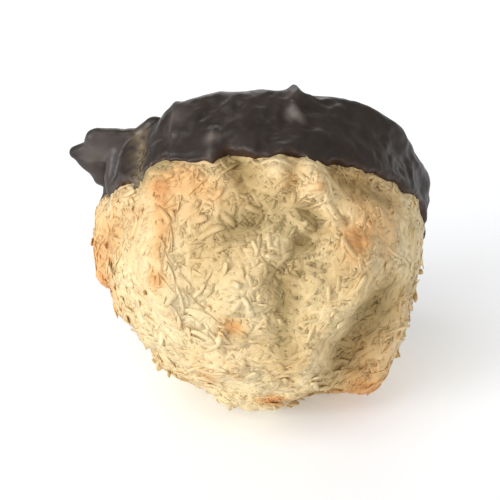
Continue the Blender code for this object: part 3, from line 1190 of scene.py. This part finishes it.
def ranged(tree, value, low, high, start=0.0, end=1.0):
    """The value, taken from start and end to low and high."""
    made = tree.nodes.new("ShaderNodeMapRange")
    feed(tree, made.inputs["Value"], value)
    made.inputs["From Min"].default_value = start
    made.inputs["From Max"].default_value = end
    made.inputs["To Min"].default_value = low
    made.inputs["To Max"].default_value = high
    return made.outputs["Result"]


def mixed(tree, factor, under, over, blend="MIX"):
    """One colour laid over another by this factor."""
    made = tree.nodes.new("ShaderNodeMix")
    made.data_type = "RGBA"
    made.blend_type = blend
    feed(tree, made.inputs["Factor"], factor)
    feed(tree, made.inputs[MIX_UNDER], under)
    feed(tree, made.inputs[MIX_OVER], over)
    return made.outputs[MIX_RESULT]


def grained(tree, shader, scale, strength):
    """Gives the shader's surface its finest bumps."""
    bump = tree.nodes.new("ShaderNodeBump")
    bump.inputs["Strength"].default_value = strength
    bump.inputs["Distance"].default_value = GRAIN_DEPTH
    feed(tree, bump.inputs["Height"], texture(tree, scale, detail=3))
    feed(tree, shader.inputs["Normal"], bump.outputs["Normal"])


def coconut_material():
    """Cream to brown by how baked the coconut is, with painted shade in its hollows and between
    strips.
    """
    made, tree, shader = shader_of("baked_coconut")
    baked, shade_painted, chance = painted(tree)
    speck = texture(tree, scale=900, detail=4)
    speck = worked_out(tree, "MULTIPLY_ADD", speck, SPECKS, -SPECKS / 2)
    skin = ramp_of(tree, worked_out(tree, "ADD", baked, speck), BAKED_STOPS)
    # Painted shade darkens the colour in hollows and between strips
    shade = mixed(tree, 1.0, skin, ramp_of(tree, shade_painted, PAINTED_SHADE_STOPS), "MULTIPLY")
    tint = tree.nodes.new("ShaderNodeVectorMath")
    tint.operation = "SCALE"
    feed(tree, tint.inputs[0], shade)
    feed(tree, tint.inputs["Scale"], ranged(tree, chance, *STRIP_SHADES))
    feed(tree, shader.inputs["Base Color"], tint.outputs["Vector"])
    grained(tree, shader, scale=2600, strength=0.35)
    shader.inputs["Roughness"].default_value = COCONUT_ROUGHNESS
    shader.inputs["Specular IOR Level"].default_value = COCONUT_SHINE
    return made


def chocolate_material():
    """Clouded dark chocolate, browner where it is thin, and paler in clouds where it blooms and
    with painted sheen and glints.
    """
    made, tree, shader = shader_of("dark_chocolate")
    thin, paleness_and_sheen, patchy = painted(tree)
    cloud = texture(tree, scale=260, detail=5)
    colour = ramp_of(tree, cloud, CHOCOLATE_STOPS)
    colour = mixed(tree, worked_out(tree, "MULTIPLY", thin, THIN_SHARE), colour, THIN_CHOCOLATE)
    # Paler in clouds where it blooms, and with painted sheen and glints
    colour = mixed(tree, paleness_and_sheen, colour, BLOOM_AND_SHEEN_CHOCOLATE)
    colour = mixed(tree, patchy, colour, SHREDS_UNDER_CHOCOLATE)
    feed(tree, shader.inputs["Base Color"], colour)
    gloss = ranged(tree, cloud, *CHOCOLATE_ROUGHNESS, *CLOUD_RANGE)
    feed(tree, shader.inputs["Roughness"], gloss)
    grained(tree, shader, scale=1300, strength=0.25)
    shader.inputs["Specular IOR Level"].default_value = CHOCOLATE_SHINE
    return made


def floor_piece():
    """A wide pale floor, level with the macaroon's underside."""
    made, _, shader = shader_of("pale_floor")
    shader.inputs["Base Color"].default_value = FLOOR_COLOUR
    shader.inputs["Roughness"].default_value = FLOOR_ROUGHNESS
    shader.inputs["Emission Color"].default_value = (1.0, 1.0, 1.0, 1)
    shader.inputs["Emission Strength"].default_value = FLOOR_GLOW
    mesh = bpy.data.meshes.new("floor")
    half = FLOOR_HALF
    corners = [(-half, -half, 0), (half, -half, 0), (half, half, 0), (-half, half, 0)]
    mesh.from_pydata(corners, [], [(0, 1, 2, 3)])
    piece = bpy.data.objects.new("floor", mesh)
    bpy.context.scene.collection.objects.link(piece)
    mesh.materials.append(made)
    return piece


def sun(name, toward, strength, softness, colour):
    """A broad, soft light that shines from this direction."""
    lamp = bpy.data.lights.new(name, "SUN")
    lamp.energy = strength
    lamp.angle = math.radians(softness)
    lamp.color = colour
    made = bpy.data.objects.new(name, lamp)
    made.rotation_euler = Vector(toward).to_track_quat("Z", "Y").to_euler()
    bpy.context.scene.collection.objects.link(made)


def studio():
    """A soft sky and four broad suns."""
    world = bpy.data.worlds.new("studio")
    bpy.context.scene.world = world
    world.use_nodes = True
    sky = world.node_tree.nodes["Background"]
    sky.inputs["Color"].default_value = SKY_COLOUR
    sky.inputs["Strength"].default_value = SKY_STRENGTH
    for row in SUNS:
        sun(*row)
    bpy.context.scene.view_settings.view_transform = "Standard"


def camera():
    """The camera, in front of the macaroon and above it, as the photo sees it."""
    lens = bpy.data.cameras.new("camera")
    lens.lens = FOCAL_LENGTH
    lens.sensor_width = SENSOR_WIDTH
    made = bpy.data.objects.new("camera", lens)
    away = Vector((0, -math.cos(CAMERA_ELEVATION), math.sin(CAMERA_ELEVATION)))
    made.location = Vector(AIM) + CAMERA_DISTANCE * away
    made.rotation_euler = (Vector(AIM) - made.location).to_track_quat("-Z", "Y").to_euler()
    bpy.context.scene.collection.objects.link(made)
    bpy.context.scene.camera = made


noise.seed_set(CREASE_SEED)
coconut = coconut_material()
chocolate = chocolate_material()
mass = fused_mound()
lying = loose_shreds("coconut_shreds_lying", LYING_SHREDS)
fine = loose_shreds("coconut_shreds_fine", FINE_SHREDS)
proud = loose_shreds("coconut_shreds_proud", PROUD_SHREDS)
dipped = loose_shreds("coconut_shreds_dipped", DIPPED_SHREDS)
dip = coat()
mass.data.shade_smooth()
for piece in (mass, lying, fine, proud):
    piece.data.materials.clear()
    piece.data.materials.append(coconut)
    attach(piece, "root")
for piece in (dip, dipped):
    piece.data.materials.append(chocolate)
    piece.data.shade_smooth()
    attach(piece, "root")
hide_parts("coconut_mound")
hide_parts("chocolate_coating")
floor_piece()
studio()
camera()
